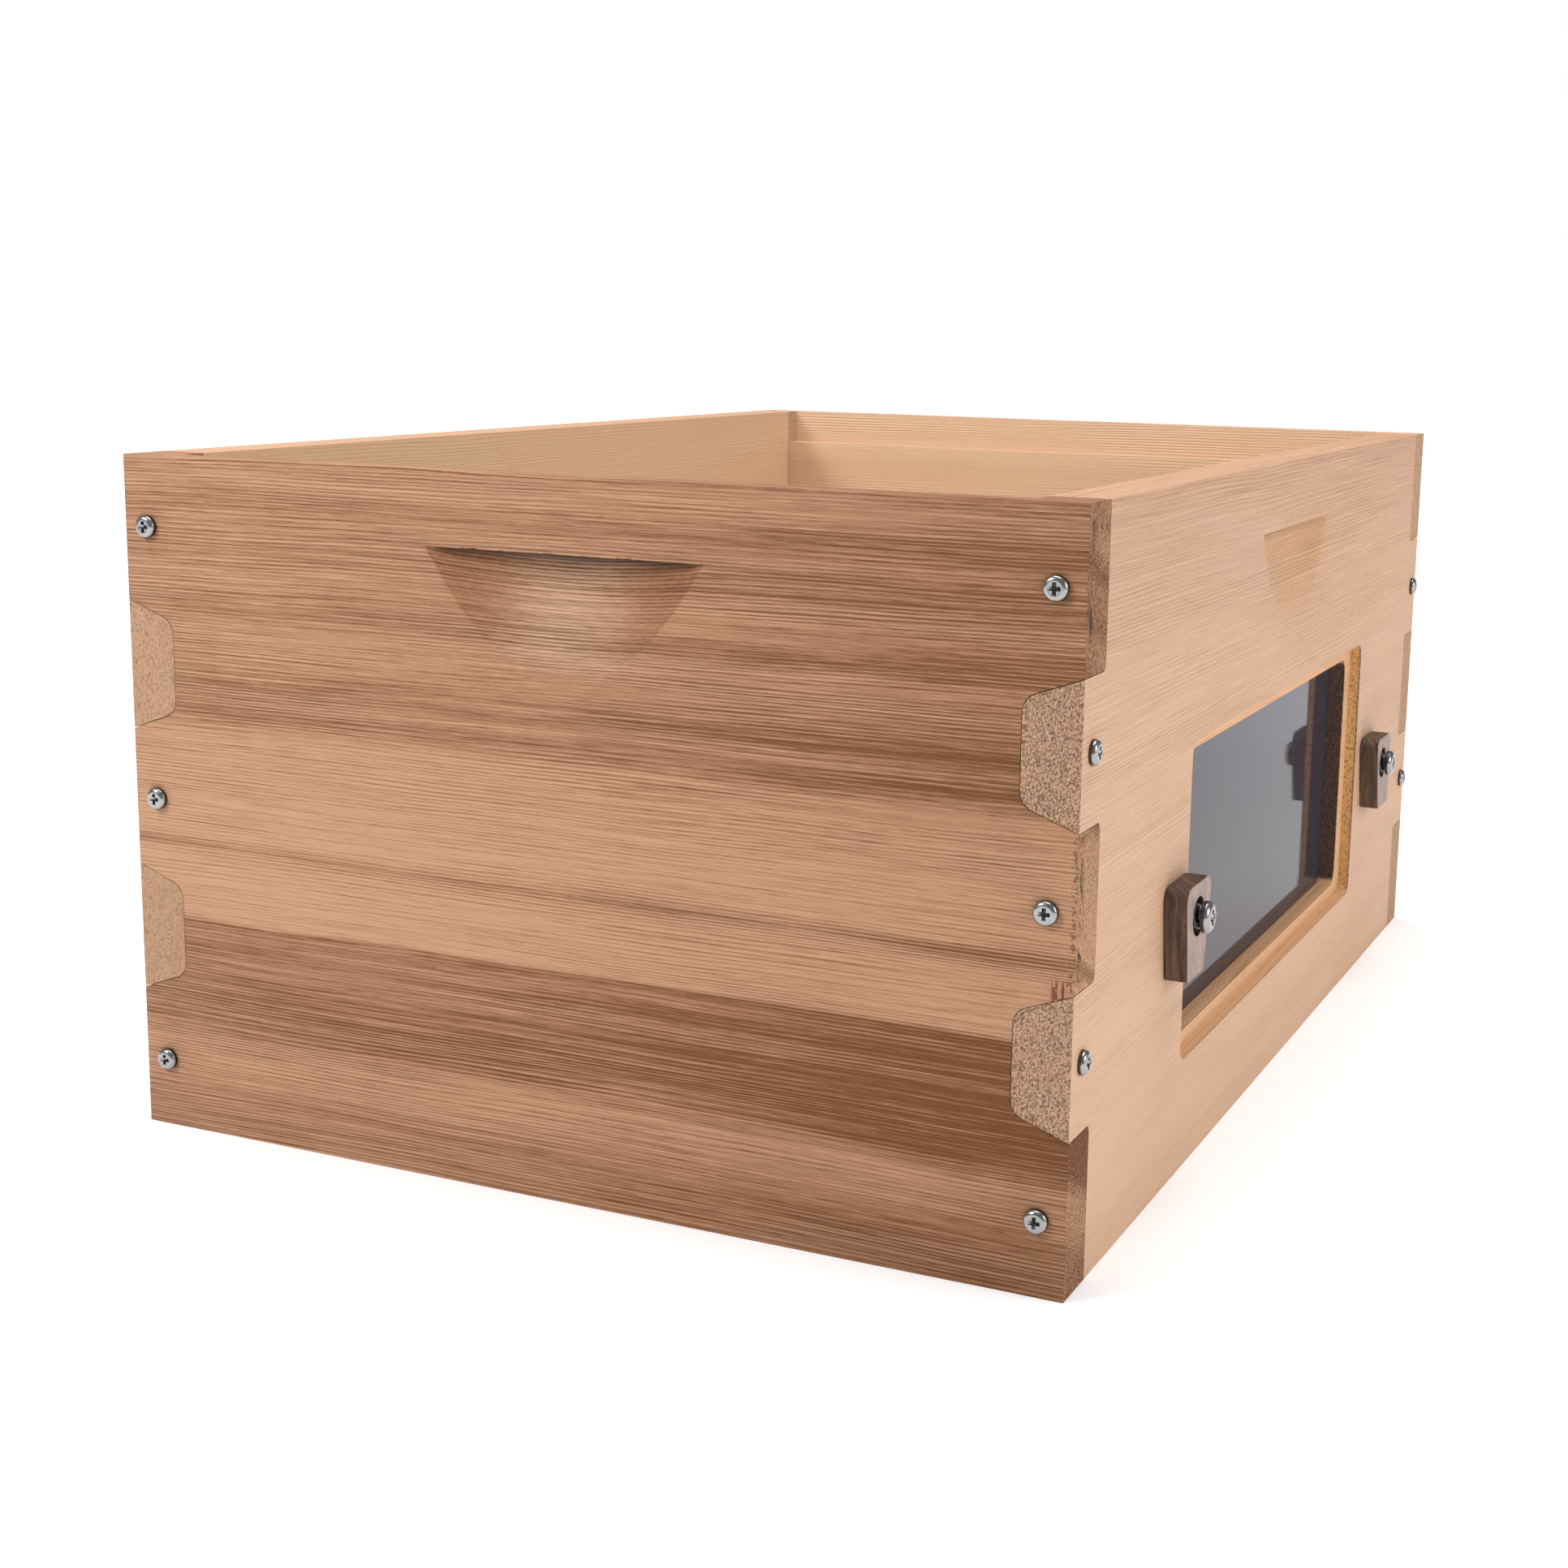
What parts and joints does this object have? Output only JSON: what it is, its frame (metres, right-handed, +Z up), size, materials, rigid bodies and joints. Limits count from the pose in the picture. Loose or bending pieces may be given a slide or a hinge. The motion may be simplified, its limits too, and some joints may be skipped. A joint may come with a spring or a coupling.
{
  "type": "hive body with viewing window",
  "caption": "Finger-jointed wooden hive body, open at top and bottom, with frame rests, handholds and a side viewing window flanked by sprung turn-buttons.",
  "frame": {"origin": "on the ground plane under the middle of the whole part, screw heads included", "axes": "+X out through the window wall, +Y along the length from the front board to the rear board, +Z up"},
  "size_m": [0.3714, 0.5128, 0.2445],
  "materials": {
    "cedar": "planed, unfinished",
    "bead_wood": "planed, unfinished",
    "dark_hardwood": "sawn, oiled",
    "smoked_glazing": "polished, smoked dark",
    "stainless": "bright",
    "spring_steel": "oiled"
  },
  "bodies": {
    "hive_body": {"front_board": "cedar", "rear_board": "cedar", "left_side_board": "cedar", "window_side_board": "cedar", "window_pane": "smoked_glazing", "bead_pins": "stainless", "glazing_bead_top": "bead_wood", "glazing_bead_bottom": "bead_wood", "glazing_bead_front": "bead_wood", "glazing_bead_rear": "bead_wood", "front_pivot_screw": "stainless", "front_pivot_spring": "spring_steel", "rear_pivot_screw": "stainless", "rear_pivot_spring": "spring_steel", "screw_front_left_end_1": "stainless", "screw_front_left_end_2": "stainless", "screw_front_left_end_3": "stainless", "screw_front_left_side_1": "stainless", "screw_front_left_side_2": "stainless", "screw_front_right_end_1": "stainless", "screw_front_right_end_2": "stainless", "screw_front_right_end_3": "stainless", "screw_front_right_side_1": "stainless", "screw_front_right_side_2": "stainless", "screw_rear_left_end_1": "stainless", "screw_rear_left_end_2": "stainless", "screw_rear_left_end_3": "stainless", "screw_rear_left_side_1": "stainless", "screw_rear_left_side_2": "stainless", "screw_rear_right_end_1": "stainless", "screw_rear_right_end_2": "stainless", "screw_rear_right_end_3": "stainless", "screw_rear_right_side_1": "stainless", "screw_rear_right_side_2": "stainless"},
    "front_button": {"front_turn_button": "dark_hardwood"},
    "rear_button": {"rear_turn_button": "dark_hardwood"}
  },
  "joints": [
    {"name": "front_button_turn", "type": "hinge", "parent": "hive_body", "child": "front_button", "pos_m": [0.17235, -0.149, 0.0983], "axis": [1, 0, 0], "continuous": true},
    {"name": "rear_button_turn", "type": "hinge", "parent": "hive_body", "child": "rear_button", "pos_m": [0.17235, 0.156, 0.0983], "axis": [1, 0, 0], "continuous": true}
  ]
}
